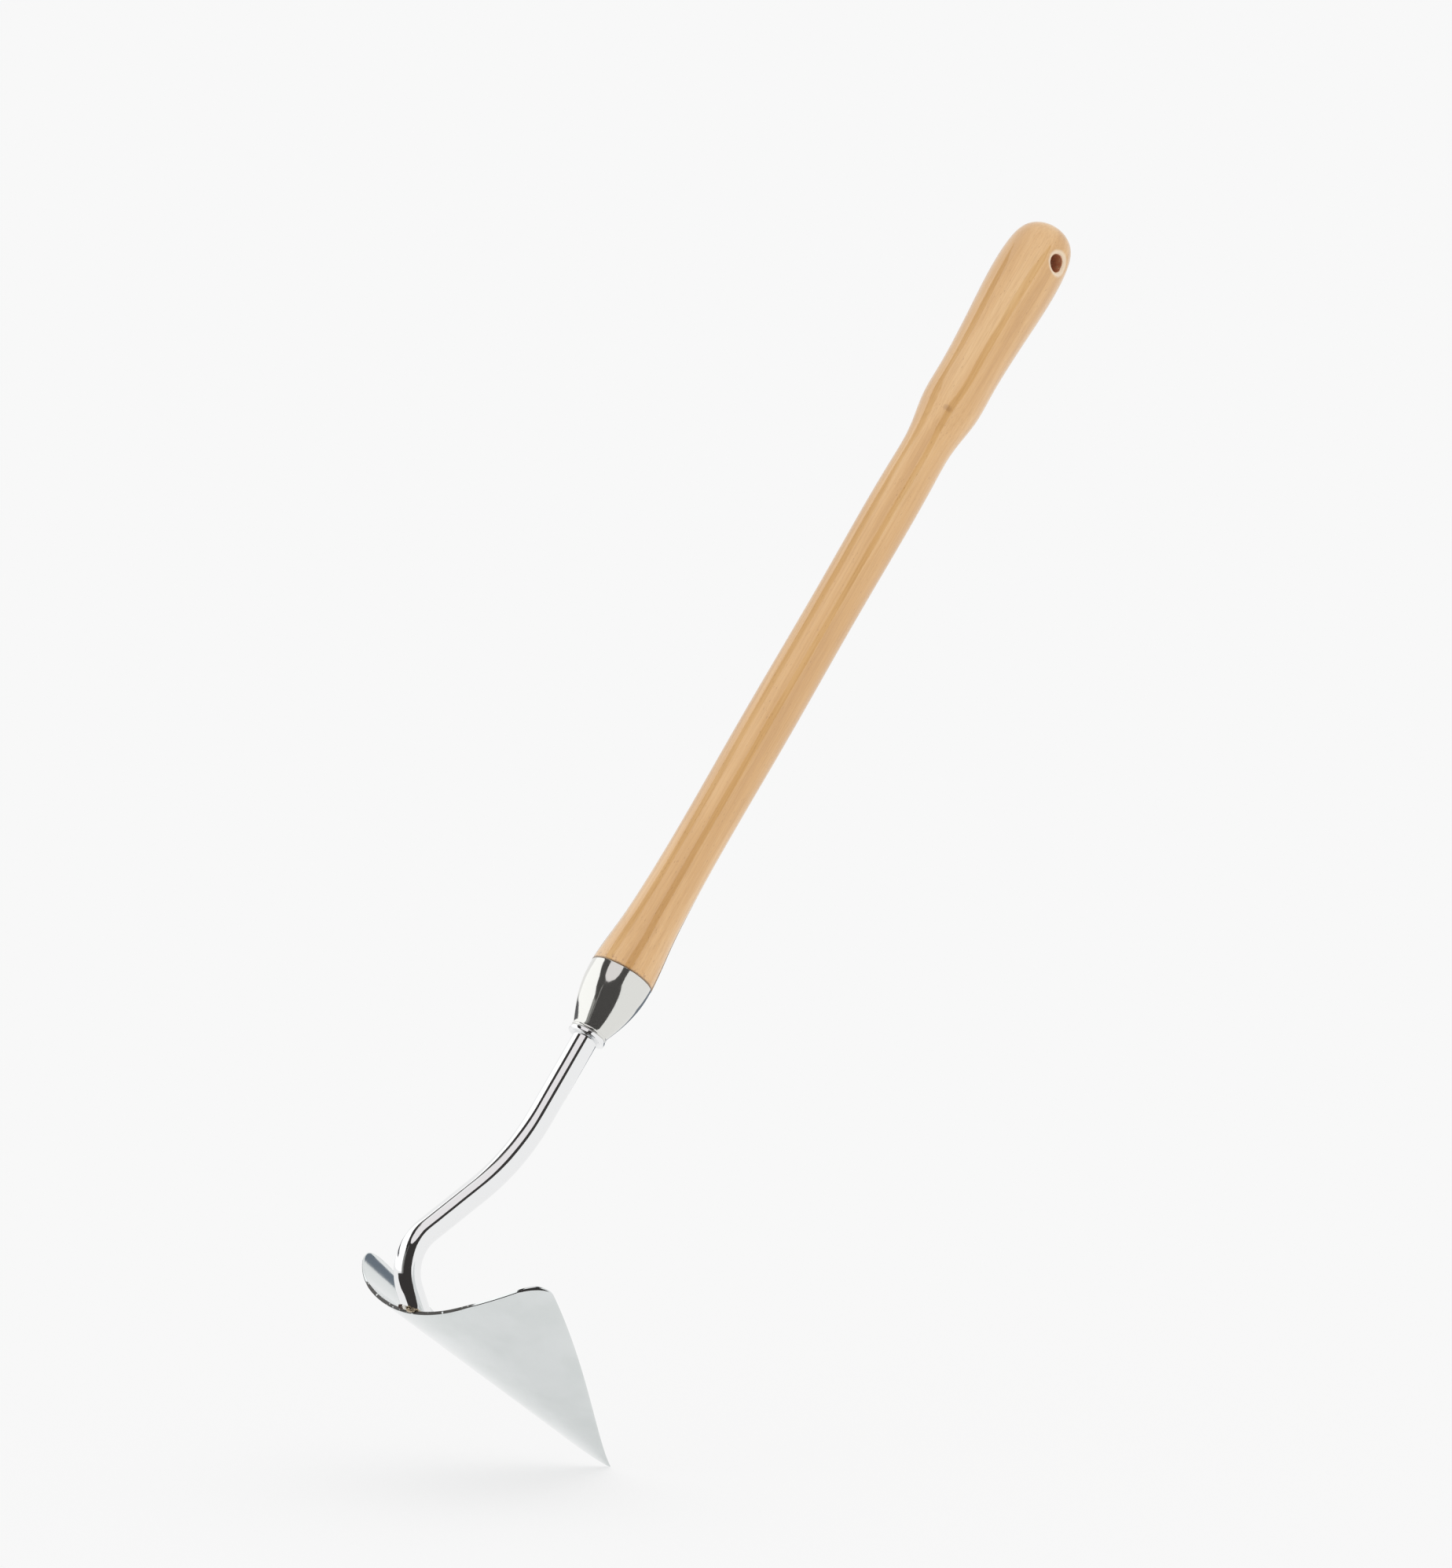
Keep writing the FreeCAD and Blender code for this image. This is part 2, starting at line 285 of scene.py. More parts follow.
def circle_meeting(centre_a, radius_a, centre_b, radius_b, near):
    """Where two circles cross, on the side nearer to a point."""
    between = centre_b - centre_a
    span = between.length
    along = (radius_a ** 2 - radius_b ** 2 + span ** 2) / (2 * span)
    height = math.sqrt(radius_a ** 2 - along ** 2)
    unit = between / span
    across = Vector((-unit.y, unit.x)) * height
    middle = centre_a + unit * along
    return min((middle + across, middle - across), key=lambda p: (p - near).length)


def round_between(centre, radius, first, last, steps):
    """Places and normals round a small arc, from one normal to another, clockwise."""
    a = math.atan2(first.y, first.x)
    b = math.atan2(last.y, last.x)
    made = []
    for k in range(steps + 1):
        angle = a + (b - a) * k / steps
        normal = Vector((math.cos(angle), math.sin(angle)))
        made.append((centre + normal * radius, normal))
    return made


def make_blade():
    """Plate bent to part of a cone, ground along both cutting edges, with its rims softened."""
    outline, side_centre, side_radius = half_outline()
    flat_steps, bevel_steps = 26, 5
    mesh = bmesh.new()

    def hollow_raise(x, y):
        """How far the hollow face stands from the outer face: less over the ground bevel."""
        inside = side_radius - (Vector((x, abs(y))) - side_centre).length
        return PLATE - BEVEL_DEPTH * max(0.0, 1 - inside / BEVEL_WIDTH)

    def bevel_line(x, edge):
        reach = (side_radius - BEVEL_WIDTH) ** 2 - (x - side_centre.x) ** 2
        return min(max(side_centre.y + math.sqrt(max(reach, 0)), edge * 0.05), edge * 0.97)

    def row_places(x, edge):
        line = bevel_line(x, edge)
        half = [line * k / flat_steps for k in range(flat_steps + 1)]
        half += [line + (edge - line) * k / bevel_steps for k in range(1, bevel_steps + 1)]
        return [-y for y in reversed(half[1:])] + half

    stations = [(Vector((BACK_X, BACK_FLAT)), Vector((-1, 0)))] + outline
    inset = [(spot - normal * RIM_ROUND) for spot, normal in stations]
    faces_rows = {}
    for face in ("outer", "hollow"):
        rows = []
        for spot in inset[:-1]:
            row = []
            for y in row_places(spot.x, spot.y):
                raised = 0.0 if face == "outer" else hollow_raise(spot.x, y)
                row.append(mesh.verts.new(place(spot.x, y, plate_height(spot.x, y, raised))))
            rows.append(row)
        tip = inset[-1]
        raised = 0.0 if face == "outer" else hollow_raise(tip.x, 0)
        point = mesh.verts.new(place(tip.x, 0, plate_height(tip.x, 0, raised)))
        for low, high in zip(rows, rows[1:]):
            for k in range(len(low) - 1):
                mesh.faces.new((low[k], low[k + 1], high[k + 1], high[k]))
        for k in range(len(rows[-1]) - 1):
            mesh.faces.new((rows[-1][k], rows[-1][k + 1], point))
        rim = list(rows[0])
        rim += [row[-1] for row in rows[1:]] + [point] + [row[0] for row in reversed(rows[1:])]
        faces_rows[face] = rim

    spots = [(Vector((BACK_X, y)), Vector((-1, 0))) for y in row_places(inset[0].x, BACK_FLAT)]
    spots += stations[1:]
    spots += [(Vector((s.x, -s.y)), Vector((n.x, -n.y))) for s, n in reversed(stations[1:-1])]
    rims = [faces_rows["outer"]]
    soft_steps = 3
    lanes = [(0.5 - 0.5 * math.cos(math.pi * k / (2 * soft_steps)),
              math.sin(math.pi * k / (2 * soft_steps))) for k in range(1, soft_steps + 1)]
    for near_outer in (True, False):
        for lift, out in lanes if near_outer else reversed(lanes):
            ring = []
            for spot, normal in spots:
                thick = hollow_raise(spot.x, spot.y)
                soft = min(RIM_ROUND, thick * RIM_SHARE)
                raised = soft * 2 * lift if near_outer else thick - soft * 2 * lift
                at = spot - normal * (RIM_ROUND * (1 - out))
                ring.append(mesh.verts.new(place(at.x, at.y, plate_height(at.x, at.y, raised))))
            rims.append(ring)
    rims.append(faces_rows["hollow"])
    for low, high in zip(rims, rims[1:]):
        for i in range(len(low)):
            j = (i + 1) % len(low)
            mesh.faces.new((low[i], low[j], high[j], high[i]))
    return finish_mesh("blade_plate", mesh, sharp=24)


# ---- neck ---------------------------------------------------------------------------------

BAR_RUNS = [(TANG_TOP - SWEEP_START, 0.0), (SWEEP_RADIUS * SWEEP_ANGLE, 1 / SWEEP_RADIUS),
            (SWAN_START, 0.0),
            (SWAN_RADIUS * (SWEEP_ANGLE + math.pi / 2 - FOOT_ANGLE), -1 / SWAN_RADIUS),
            (FOOT_RUN, 0.0)]
SWAN_AT = sum(length for length, _ in BAR_RUNS[:3])
SWAN_END = SWAN_AT + BAR_RUNS[3][0]


def bar_centre(distance):
    """Centre of the bar at a distance from the tang's top, and its turn from straight down."""
    x, z, turn = 0.0, TANG_TOP, 0.0
    for length, curve in BAR_RUNS:
        run = min(length, distance)
        after = turn + curve * run
        if curve:
            x += (math.cos(after) - math.cos(turn)) / curve
            z -= (math.sin(after) - math.sin(turn)) / curve
        else:
            x -= math.sin(turn) * run
            z -= math.cos(turn) * run
        turn = after
        distance -= run
        if distance <= 0:
            break
    return x, z, turn


def bar_skin(distance, angle, radius=BAR_RADIUS):
    """Point on the bar's skin; angle 0 is the side that faces the blade's point."""
    x, z, turn = bar_centre(distance)
    out = radius * math.cos(angle)
    return Vector((x + out * math.cos(turn), radius * math.sin(angle), z - out * math.sin(turn)))


def landing(angle):
    """Distance along the bar at which one line of its skin meets the plate's hollow face."""
    low, high = SWAN_AT, SWAN_END + FOOT_RUN
    for _ in range(40):
        middle = (low + high) / 2
        at = bar_skin(middle, angle)
        if at.z > plate_height(at.x, at.y, PLATE):
            low = middle
        else:
            high = middle
    return low


def make_neck():
    """One length of round bar: tang, sweep, swan bend and a foot mitred to the hollow face."""
    segments = 96
    angles = [2 * math.pi * i / segments for i in range(segments)]
    mitre_from = SWAN_AT + MITRE_LEAD
    rings = [[place(*bar_skin(0, a, BAR_RADIUS - TANG_CHAMFER)) for a in angles]]
    distance = TANG_CHAMFER
    while distance < mitre_from:
        rings.append([place(*bar_skin(distance, a)) for a in angles])
        distance += 1.5 if distance > TANG_TOP - SWEEP_START - 8 else 4.0
    landings = [landing(a) for a in angles]
    steps = 40
    for k in range(steps + 1):
        share = k / steps
        rings.append([place(*bar_skin(mitre_from + (hit - mitre_from) * share, a))
                      for a, hit in zip(angles, landings)])
    return skin("neck_bar", rings, cap=True)


def weld_route():
    """Line where the bar's skin meets the plate, from one back corner round the front."""
    made = []
    for k in range(181):
        angle = math.pi - 2 * math.pi * k / 180
        at = bar_skin(landing(angle), angle)
        made.append(at)
    return made


def bead(name, route, radius, seed, ripple=1.15, lift=0.35):
    """Rippled run of weld metal along a route, thinner towards both ends."""
    draw = random.Random(seed)
    lengths = [0.0]
    for a, b in zip(route, route[1:]):
        lengths.append(lengths[-1] + (b - a).length)
    total = lengths[-1]
    count = max(24, int(total / 0.22))
    wobble = [draw.uniform(-1, 1) for _ in range(int(total / ripple) + 3)]
    segments = 20
    rings = []
    index = 0
    for k in range(count + 1):
        at = total * k / count
        while index < len(lengths) - 2 and lengths[index + 1] < at:
            index += 1
        share = (at - lengths[index]) / max(lengths[index + 1] - lengths[index], 1e-9)
        centre = route[index].lerp(route[index + 1], share)
        ahead = (route[min(index + 1, len(route) - 1)] - route[index]).normalized()
        side = ahead.cross(Vector((0, 0, 1))).normalized()
        up = side.cross(ahead)
        phase = at / ripple
        crest = 1 - (phase % 1.0)
        size = radius * (0.86 + 0.16 * crest ** 2 + 0.09 * wobble[int(phase)])
        near_end = min(at, total - at)
        size *= math.sin(min(1.0, (near_end + 0.05) / (radius * 1.3)) * math.pi / 2) ** 0.6
        centre = centre + Vector((0, 0, lift * radius)) + side * (0.12 * wobble[int(phase) + 1])
        rings.append([place(*(centre + (side * math.cos(a) + up * math.sin(a)) * size))
                      for a in (2 * math.pi * i / segments for i in range(segments))])
    return skin(name, rings, cap=True)


def make_neck_weld():
    """Bead of weld round the foot, and the lumps that close its heel down to the plate's edge."""
    route = [at for at in weld_route() if at.x > BACK_X - 0.5]
    weld = bead("neck_weld_bead", route, BEAD_RADIUS, seed=11)
    mesh = bmesh.new()
    mesh.from_mesh(weld.data)
    for number, (x, y, z, wide, tall) in enumerate(HEEL_LUMPS):
        made = bmesh.ops.create_icosphere(mesh, subdivisions=4, radius=1.0)
        for vertex in made["verts"]:
            spot = vertex.co.copy()
            swell = 1 + 0.28 * noise.noise(spot * 1.3 + Vector((number * 7, 0, 0)))
            swell += 0.10 * noise.noise(spot * 3.7 + Vector((0, number * 5, 0)))
            vertex.co = place(x + spot.x * wide * swell * 0.8, y + spot.y * wide * swell,
                              z + spot.z * tall * swell)
    mesh.to_mesh(weld.data)
    mesh.free()
    weld.data.shade_smooth()
    return weld


# ---- collar, ferrule, handle --------------------------------------------------------------

def make_stop_collar():
    """Ring on the bar that the ferrule seats on, dished underneath round the bar."""
    low = -COLLAR_TOP
    corners = [(BAR_RADIUS, COLLAR_TOP), (BAR_RADIUS, low + COLLAR_DISH),
               (BAR_RADIUS + COLLAR_DISH, low), (COLLAR_RADIUS, low), (COLLAR_RADIUS, COLLAR_TOP)]
    return turn_on_lathe("stop_collar_ring", round_corners(corners, 0.7, steps=6), 128, loop=True)


def make_ferrule():
    """Spun bell of even wall with a rolled lip at the small end."""
    outside = smooth_curve(FERRULE_PROFILE, 0.6)
    inside = [(radius - FERRULE_WALL, height) for radius, height in outside]
    mouth = round_corners([outside[-2], outside[-1], inside[-1], inside[-2]], 0.5, closed=False)
    lip = []
    for k in range(25):
        angle = math.radians(200 + (405 - 200) * k / 24)
        lip.append((LIP_RING + LIP_RADIUS * math.cos(angle),
                    COLLAR_TOP + LIP_RADIUS + LIP_RADIUS * math.sin(angle)))
    bell = [point for point in outside[:-2] if point[1] > lip[-1][1] + 0.25]
    inner = [point for point in reversed(inside[:-2])]
    return turn_on_lathe("ferrule_bell", lip + bell + mouth + inner, 192, loop=True)


def make_handle():
    """Turned handle with its tenon, the bore for the tang and the cross-drilled hanging hole."""
    tenon = [(radius - FERRULE_WALL, height) for radius, height in smooth_curve(FERRULE_PROFILE, 2)]
    tenon = [point for point in tenon if point[1] > TENON_FACE]
    profile = [(0, BORE_TOP), (BORE_RADIUS, BORE_TOP), (BORE_RADIUS, TENON_FACE + 0.5),
               (BORE_RADIUS + 0.5, TENON_FACE), (tenon[0][0] - 0.5, TENON_FACE)]
    profile += tenon
    outside = smooth_curve(HANDLE_PROFILE, 0.5)
    near_hole = HOLE_HEIGHT - DISH_RADIUS - 4
    outside = [point for i, point in enumerate(outside) if i % 4 == 0 or point[1] > near_hole]
    shoulder = [tenon[-1], (outside[0][0] - 0.9, outside[0][1]), outside[0], outside[1]]
    profile += round_corners(shoulder, 0.6, closed=False)[1:-1] + outside[1:]
    handle = turn_on_lathe("handle_wood", profile, 200)
    dish_mouths(handle)
    drill_hole(handle)
    return handle


def hole_axes():
    """Middle of the hanging hole, its axis, and the direction square to that and to the handle."""
    across = SIDE * math.cos(HOLE_TURN) - FORE * math.sin(HOLE_TURN)
    return place(0, 0, HOLE_HEIGHT), across, UP.cross(across)


def dish_mouths(handle):
    """Presses a smooth dish into the wood round both mouths of the hole."""
    centre, across, other = hole_axes()
    for vertex in handle.data.vertices:
        spot = (vertex.co - centre) / MM
        along = spot.dot(across)
        away = math.hypot(spot.dot(UP), spot.dot(other))
        if away < DISH_RADIUS and abs(along) > DISH_RADIUS:
            share = min(1.0, (DISH_RADIUS - away) / (DISH_RADIUS - HOLE_RADIUS))
            depth = DISH_DEPTH * (1 - math.sqrt(1 - share * share * 0.96))
            vertex.co -= across * (math.copysign(depth, along) * MM)


def drill_hole(handle):
    """Cuts the hanging hole straight through the handle."""
    centre, across, other = hole_axes()
    rings = []
    for height in DRILL_REACH:
        ring = []
        for i in range(96):
            angle = 2 * math.pi * i / 96
            out = (other * math.cos(angle) + UP * math.sin(angle)) * HOLE_RADIUS
            ring.append(centre + (across * height + out) * MM)
        rings.append(ring)
    drill = skin("drill", rings, cap=True)
    cut = handle.modifiers.new("hang_hole", "BOOLEAN")
    cut.operation = "DIFFERENCE"
    cut.solver = "EXACT"
    cut.object = drill
    bpy.context.view_layer.update()
    shaped = handle.evaluated_get(bpy.context.evaluated_depsgraph_get())
    data = bpy.data.meshes.new_from_object(shaped)
    handle.modifiers.clear()
    handle.data = data
    data.shade_smooth()
    data.set_sharp_from_angle(angle=math.radians(38))
    bpy.data.objects.remove(drill)


# ==== finishes =============================================================================

class Amount:
    """A number that varies over a surface. Arithmetic on it adds Math nodes to its finish."""

    def __init__(self, finish, socket):
        self.finish = finish
        self.socket = socket

    def math(self, operation, *terms):
        inputs = dict(enumerate(terms))
        return self.finish.node("ShaderNodeMath", {"operation": operation}, inputs)

    def __add__(self, other):
        return self.math("ADD", self, other)

    __radd__ = __add__

    def __sub__(self, other):
        return self.math("SUBTRACT", self, other)

    def __rsub__(self, other):
        return self.math("SUBTRACT", other, self)

    def __mul__(self, other):
        return self.math("MULTIPLY", self, other)

    __rmul__ = __mul__

    def step(self, low, high):
        """0 below low, 1 above high, and a smooth rise between them."""
        return self.finish.node("ShaderNodeMapRange", {"interpolation_type": "SMOOTHSTEP"},
                                {"Value": self, "From Min": low, "From Max": high})


class Finish:
    """One surface finish: a Principled shader and the nodes that feed it."""

    def __init__(self, name, **constants):
        self.material = bpy.data.materials.new(name)
        self.material.use_nodes = True
        self.tree = self.material.node_tree
        self.shader = self.tree.nodes["Principled BSDF"]
        for socket, value in constants.items():
            self.feed(self.shader.inputs[socket.replace("_", " ")], value)

    def feed(self, socket, value):
        if isinstance(value, Amount):
            self.tree.links.new(value.socket, socket)
        else:
            socket.default_value = value

    def node(self, kind, settings, inputs, output=0):
        made = self.tree.nodes.new(kind)
        for name, value in settings.items():
            if name == "stops":
                self.set_stops(made.color_ramp, value)
            else:
                setattr(made, name, value)
        for key, value in inputs.items():
            self.feed(made.inputs[key], value)
        return Amount(self, made.outputs[output])

    def set_stops(self, ramp, stops):
        while len(ramp.elements) < len(stops):
            ramp.elements.new(1.0)
        for element, (at, colour) in zip(ramp.elements, stops):
            element.position = at
            element.color = (*colour, 1)

    def set(self, **inputs):
        for socket, value in inputs.items():
            self.feed(self.shader.inputs[socket.replace("_", " ")], value)

    def mix(self, share, first, second):
        """Colour between two others."""
        colours = [value if isinstance(value, Amount) else (*value, 1) for value in (first, second)]
        return self.node("ShaderNodeMix", {"data_type": "RGBA"},
                         {0: share, 6: colours[0], 7: colours[1]}, output=2)

    def tool_millimetres(self):
        """Coordinates along the upright tool's own axes, in millimetres."""
        spot = self.node("ShaderNodeTexCoord", {}, {}, output="Object")
        from_seat = self.node("ShaderNodeVectorMath", {"operation": "SUBTRACT"}, {0: spot, 1: SEAT})
        return [self.node("ShaderNodeVectorMath", {"operation": "DOT_PRODUCT"},
                          {0: from_seat, 1: axis / MM}, output="Value")
                for axis in (FORE, SIDE, UP)]

    def join(self, x, y, z):
        return self.node("ShaderNodeCombineXYZ", {}, {0: x, 1: y, 2: z})

    def noise(self, spot, scale, detail=3.0, roughness=0.5, distortion=0.0):
        return self.node("ShaderNodeTexNoise", {},
                         {"Vector": spot, "Scale": scale, "Detail": detail,
                          "Roughness": roughness, "Distortion": distortion})

    def bump(self, height, distance_mm):
        self.set(Normal=self.node("ShaderNodeBump", {},
                                  {"Height": height, "Distance": distance_mm * MM,
                                   "Strength": 1.0}))


def bright_bar_finish():
    """Mirror-bright plated bar with a faint wander in its polish."""
    made = Finish("bright_bar", Base_Color=(0.88, 0.885, 0.89, 1), Metallic=1.0)
    x, y, z = made.tool_millimetres()
    spot = made.join(x, y, z)
    haze = made.noise(spot, 0.35, detail=4)
    made.set(Roughness=0.035 + 0.05 * haze)
    made.bump(made.noise(made.join(x, y, z * 0.5), 0.16, detail=1), 0.06)
    return made.material


def ferrule_finish():
    """Spun and plated steel: a softer mirror than the bar's, with a little haze."""
    made = Finish("bright_ferrule", Base_Color=(0.755, 0.755, 0.725, 1), Metallic=0.955)
    x, y, z = made.tool_millimetres()
    made.set(Roughness=0.05 + 0.07 * made.noise(made.join(x, y, z), 0.3, detail=3))
    made.bump(made.noise(made.join(x, y, z), 0.14, detail=1), 0.05)
    return made.material


def blade_finish():
    """Plated sheet steel, softly polished, with a rough sheared back edge coloured dark as a
    painted reflection.
    """
    made = Finish("bright_blade", Metallic=1.0)
    x, y, z = made.tool_millimetres()
    lines = made.noise(made.join(x * 0.06, y * 1.4, z * 1.4), 1.0, detail=4)
    cloud = made.noise(made.join(x, y, z), 0.03, detail=3)
    torn = made.noise(made.join(x * 0.2, y * 0.5, z * 0.5), 1.0, detail=5).step(0.60, 0.68)
    # Painted reflection: the back edge is coloured near black, broken into patches by torn; the
    # added roughness there is the sheared edge.
    sheared_edge_painted_reflection = (1 - x.step(BACK_X + 0.45, BACK_X + 0.75)) * (1 - torn * 0.85)
    colour = made.mix(cloud.step(0.35, 0.65), (0.71, 0.74, 0.735), (0.76, 0.785, 0.785))
    # painted dark reflection on the back edge
    colour = made.mix(sheared_edge_painted_reflection * 0.93, colour, (0.055, 0.05, 0.045))
    made.set(Base_Color=colour, Roughness=0.055 + 0.05 * lines + 0.05 * cloud + 0.4 * sheared_edge_painted_reflection)
    made.bump(cloud * 0.7 + lines * 0.05, 0.12)
    return made.material


def weld_finish():
    """Weld metal, near black towards the left of the foot and golden on the right of its heel."""
    made = Finish("stained_weld", Metallic=0.9)
    x, y, z = made.tool_millimetres()
    stain = made.noise(made.join(x, y, z), 0.6, detail=5)
    # near black towards +y, the left of the foot
    dark = (stain * 0.5 + (y - 0.2) * 0.4).step(0.35, 0.6)
    golden = (stain + (y * -0.5 - 1.1)).step(0.55, 0.8) * (1 - x.step(-9, -7))
    valley = stain.step(0.50, 0.66) * 0.6
    colour = made.mix(valley, (0.78, 0.77, 0.72), (0.20, 0.14, 0.09))
    colour = made.mix(golden * 0.8, colour, (0.34, 0.25, 0.13))
    colour = made.mix(dark, colour, (0.05, 0.028, 0.018))
    made.set(Base_Color=colour, Roughness=0.2 + 0.25 * dark)
    made.bump(made.noise(made.join(x, y, z), 2.2, detail=4), 0.12)
    return made.material


def resin_finish():
    """Cloudy set resin, hidden in the handle's bore."""
    made = Finish("tang_resin", Roughness=0.45)
    x, y, z = made.tool_millimetres()
    cloud = made.noise(made.join(x, y, z), 0.3, detail=4)
    made.set(Base_Color=made.mix(cloud, (0.50, 0.36, 0.18), (0.66, 0.52, 0.30)))
    made.bump(cloud, 0.1)
    return made.material


def beech_finish():
    """Varnished beech: long tonal bands, fine grain, short dark flecks, under a clear coat."""
    made = Finish("varnished_beech", Coat_Weight=1.0, Coat_Roughness=0.05, Coat_IOR=1.75,
                  Roughness=0.5, Specular_IOR_Level=0.2)
    x, y, z = made.tool_millimetres()
    growth = made.noise(made.join(x * 0.16, y * 0.05, z * 0.006), 1.0, detail=3, distortion=0.4)
    tone = made.node("ShaderNodeValToRGB", {"stops": [
        (0.30, (0.64, 0.355, 0.135)), (0.46, (0.72, 0.415, 0.16)), (0.58, (0.78, 0.47, 0.20)),
        (0.72, (0.83, 0.53, 0.25))]}, {"Fac": growth})
    grain = made.noise(made.join(x * 1.3, y * 1.3, z * 0.030), 1.0, detail=7, roughness=0.6)
    fine = made.noise(made.join(x * 4.0, y * 4.0, z * 0.10), 1.0, detail=3)
    cells = made.node("ShaderNodeTexVoronoi", {"feature": "F1"},
                      {"Vector": made.join(x * 1.1, y * 1.1, z * 0.17), "Scale": 1.0,
                       "Randomness": 1.0})
    patch = made.noise(made.join(x * 0.10, y * 0.10, z * 0.03), 1.0, detail=2).step(0.40, 0.60)
    fleck = (1 - cells.step(0.07, 0.16)) * patch
    stain = made.noise(made.join(x * 0.5, y * 0.5, z * 0.5), 1.0, detail=4)
    # painted shade: a near-black band on the wood just above the ferrule's mouth, where the gap
    # between the parts falls dark
    painted_gap_shade = (1 - (z + stain * 1.6).step(FERRULE_MOUTH + 1.0, FERRULE_MOUTH + 1.9))
    turned = made.join(z - HOLE_HEIGHT, x * math.cos(HOLE_TURN) + y * math.sin(HOLE_TURN), 0.0)
    from_hole = made.node("ShaderNodeVectorMath", {"operation": "LENGTH"}, {0: turned},
                          output="Value") + stain * 0.8
    in_hole = 1 - from_hole.step(HOLE_RADIUS + 0.35, HOLE_RADIUS + 0.75)
    # lip: a cream ring round each mouth of the hole, a painted highlight of the glare on the dished
    # rim
    lip = (1 - from_hole.step(HOLE_RADIUS + 1.8, HOLE_RADIUS + 3.6)) * (1 - in_hole)
    knot = made.join((x - KNOT[0]) * 0.22, (y - KNOT[1]) * 0.22, (z - KNOT[2]) * 0.36)
    from_knot = made.node("ShaderNodeVectorMath", {"operation": "LENGTH"}, {0: knot},
                          output="Value") + stain * 0.8
    smear = (1 - z.step(FERRULE_MOUTH + 1.5, FERRULE_MOUTH + 4.5)) * stain.step(0.52, 0.62)
    colour = made.mix(grain.step(0.40, 0.72) * 0.34, tone, (0.50, 0.26, 0.085))
    colour = made.mix(fine.step(0.52, 0.78) * 0.20, colour, (0.92, 0.66, 0.36))
    colour = made.mix(fleck * 0.55, colour, (0.26, 0.11, 0.035))
    colour = made.mix((1 - from_knot.step(0.55, 1.2)) * 0.45, colour, (0.34, 0.16, 0.06))
    colour = made.mix(smear * 0.5, colour, (0.30, 0.14, 0.06))
    # painted shade of the gap at the ferrule's mouth
    colour = made.mix(painted_gap_shade * 0.75, colour, (0.09, 0.045, 0.02))
    # painted highlight round the hole's mouths
    colour = made.mix(lip * 0.65, colour, (0.95, 0.82, 0.64))
    colour = made.mix(in_hole * 0.9, colour, (0.52, 0.19, 0.10))
    made.set(Base_Color=colour)
    made.bump(fine * 0.3 + grain * 0.5 - fleck * 0.4, 0.02)
    return made.material


# ==== assembly =============================================================================

def fit(piece, material, node):
    """Gives a piece its finish and its body, and hides the imported node it stands in for."""
    piece.data.materials.clear()
    piece.data.materials.append(material)
    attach(piece, "root")
    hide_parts(node)


def build_tool():
    """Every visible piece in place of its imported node; the hidden resin keeps its own shape."""
    bar = bright_bar_finish()
    fit(make_blade(), blade_finish(), "blade")
    fit(make_neck(), bar, "neck")
    fit(make_neck_weld(), weld_finish(), "neck_weld")
    fit(make_stop_collar(), bar, "stop_collar")
    fit(make_ferrule(), ferrule_finish(), "ferrule")
    fit(make_handle(), beech_finish(), "handle")
    resin = frame["nodes"]["tang_resin"].data.materials
    resin.clear()
    resin.append(resin_finish())


# ==== studio ===============================================================================

VIEW_AZIMUTH = math.radians(-36.38)
VIEW_ELEVATION = math.radians(2.94)
VIEW_DISTANCE = 2.63012
VIEW_RIGHT = 0.06666         # the view's centre stands this far from the collar
VIEW_UP = 0.12059
LENS = 126.3

STUDIO_WHITE = 0.939
FLOOR_TINT = 0.38
CARD_CENTRE = -60.0          # height in the tool's own frame that the cards are curved round
CARD_FARTHEST = 1.5
FLOOR_GAP = 0.03             # a nearer card lies this much higher on the floor, per metre

# Corners of each card in degrees: turn from the studio's front, and rise above level.
BLACK_CARD = [(-150, 66), (-126, 58), (-102, 52), (-80, 48), (-68, 43), (-58, 34), (-48, 26),
              (-37, 21), (-37, -7), (-80, -8), (-74, -20), (-62, -33), (-46, -44), (0, -47),
              (36, -46), (36, -20), (32, 0), (28, 14), (32, 24), (46, 32), (75, 40), (78, 48),
              (46, 50), (20, 46), (12, 36), (2, 33), (-16, 34), (-30, 38), (-42, 45), (-50, 55),
              (-62, 62), (-100, 67)]
GREY_CARD = [(-50, 30), (-36, 34), (-36, -8), (-48, -8)]
SEAM_CARD = [(-35, 34), (-32, 34), (-31, -10), (-33, -10)]
FRINGE_CARD = [(-156, 62), (-100, 64), (-70, 60), (-62, 64), (-74, 71), (-120, 72)]
STRIP_CARD = [(-154, 1), (-154, 6), (-128, 12), (-106, 13), (-106, 8), (-128, 5)]
SLATE_CARD = [(134, -4), (172, -4), (178, 30), (150, 36)]
LEFT_CARD = [(-140, -4), (-46, -4), (-46, 22), (-50, 31), (-66, 47), (-100, 56), (-140, 62)]
TOP_CARD = [(-90, 84), (-62, 56), (-44, 42), (-30, 34), (14, 32), (24, 42), (80, 46), (100, 84)]
CARDS = [                    # name, corners, glow, and distance in metres
    ("seam_card", SEAM_CARD, (0.26, 0.26, 0.25), 1.28),
    ("black_card", BLACK_CARD, (0.040, 0.037, 0.036), 1.30),
    ("slate_card", SLATE_CARD, (0.17, 0.20, 0.24), 0.20),
    ("strip_card", STRIP_CARD, (0.10, 0.10, 0.11), 1.31),
    ("grey_card", GREY_CARD, (0.30, 0.30, 0.29), 1.34),
    ("fringe_card", FRINGE_CARD, (0.24, 0.23, 0.22), 1.35),
    ("left_white_card", LEFT_CARD, (1.25, 1.25, 1.25), 1.38),
    ("top_white_card", TOP_CARD, (0.88, 0.85, 0.86), 1.40)]

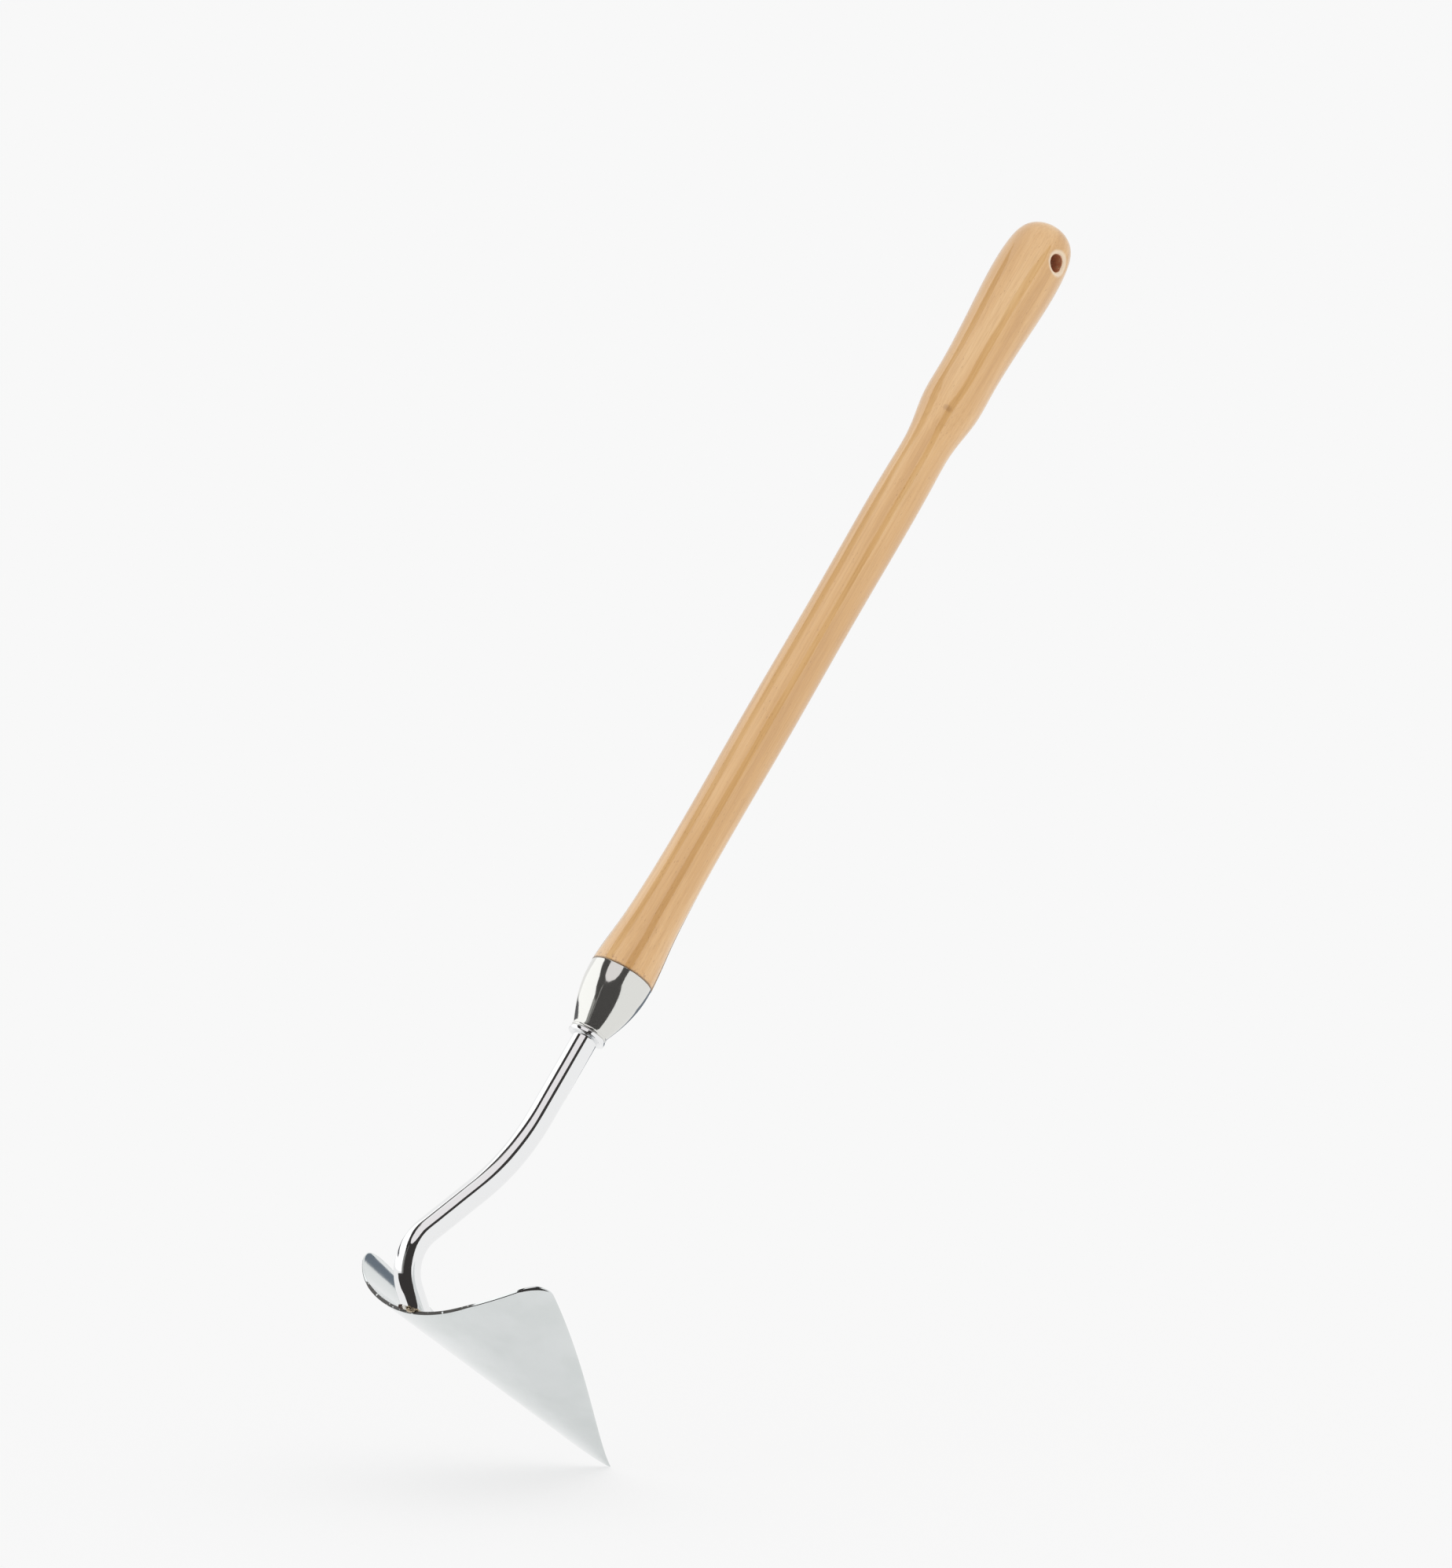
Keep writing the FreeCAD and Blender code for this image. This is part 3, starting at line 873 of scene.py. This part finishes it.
BACK = Vector((math.sin(VIEW_AZIMUTH) * math.cos(VIEW_ELEVATION),
               -math.cos(VIEW_AZIMUTH) * math.cos(VIEW_ELEVATION), math.sin(VIEW_ELEVATION)))
SCREEN_RIGHT = Vector((0, 0, 1)).cross(BACK).normalized()
SCREEN_UP = BACK.cross(SCREEN_RIGHT)


def set_camera():
    data = bpy.data.cameras.new("camera")
    data.lens = LENS
    data.sensor_width = 36.0
    data.clip_end = 500.0
    camera = bpy.data.objects.new("camera", data)
    camera.location = SEAT + BACK * VIEW_DISTANCE + SCREEN_RIGHT * VIEW_RIGHT + SCREEN_UP * VIEW_UP
    camera.rotation_euler = (-BACK).to_track_quat("-Z", "Y").to_euler()
    bpy.context.scene.collection.objects.link(camera)
    bpy.context.scene.camera = camera


def lay_floor():
    """Wide pale floor, so bright in itself that it meets the white surroundings with no edge."""
    share = 1 - FLOOR_TINT
    made = Finish("pale_floor", Base_Color=(FLOOR_TINT, FLOOR_TINT, FLOOR_TINT, 1), Roughness=1.0,
                  Specular_IOR_Level=0.0, Emission_Strength=share,
                  Emission_Color=(STUDIO_WHITE, STUDIO_WHITE, STUDIO_WHITE, 1))
    mesh = bmesh.new()
    bmesh.ops.create_circle(mesh, cap_ends=True, segments=128, radius=200.0)
    floor = finish_mesh("floor", mesh)
    floor.data.materials.append(made.material)


def light_world():
    """Even white light from all round."""
    world = bpy.data.worlds.new("white_studio")
    world.use_nodes = True
    sky = world.node_tree.nodes["Background"]
    sky.inputs["Color"].default_value = (STUDIO_WHITE, STUDIO_WHITE, STUDIO_WHITE, 1)
    bpy.context.scene.world = world
    bpy.context.scene.view_settings.view_transform = "Standard"


def toward(turn, rise):
    """Direction at a turn from the front of the studio, positive to its right, and a rise."""
    heading = math.atan2(BACK.y, BACK.x) + math.radians(turn)
    rise = math.radians(rise)
    return Vector((math.cos(heading) * math.cos(rise), math.sin(heading) * math.cos(rise),
                   math.sin(rise)))


def studio_card(name, corners, glow, reach):
    """Curved card round the tool, seen only in its gloss; what would pass the floor lies on it."""
    centre = place(0, 0, CARD_CENTRE)
    mesh = bmesh.new()
    mesh.faces.new([mesh.verts.new((turn, rise, 0)) for turn, rise in corners])
    for axis in (Vector((1, 0, 0)), Vector((0, 1, 0))):
        for cut in range(-180, 180, 6):
            parts = mesh.verts[:] + mesh.edges[:] + mesh.faces[:]
            bmesh.ops.bisect_plane(mesh, geom=parts, plane_co=axis * cut, plane_no=axis)
    for vert in mesh.verts:
        way = toward(vert.co.x, vert.co.y)
        clear = FLOOR_GAP * (CARD_FARTHEST - reach)
        run = reach if way.z >= 0 else min(reach, (centre.z - clear) / -way.z)
        vert.co = centre + way * run
    made = Finish(name + "_surface", Base_Color=(0, 0, 0, 1), Specular_IOR_Level=0.0,
                  Roughness=1.0, Emission_Color=(*glow, 1), Emission_Strength=1.0)
    card = finish_mesh(name, mesh)
    card.data.materials.append(made.material)
    card.visible_camera = False
    card.visible_diffuse = False
    card.visible_shadow = False
    card.visible_transmission = False


def hang_cards():
    """Black, grey and white cards that the bright steel and the varnish mirror."""
    for name, corners, glow, reach in CARDS:
        studio_card(name, corners, glow, reach)


build_tool()
set_camera()
lay_floor()
light_world()
hang_cards()
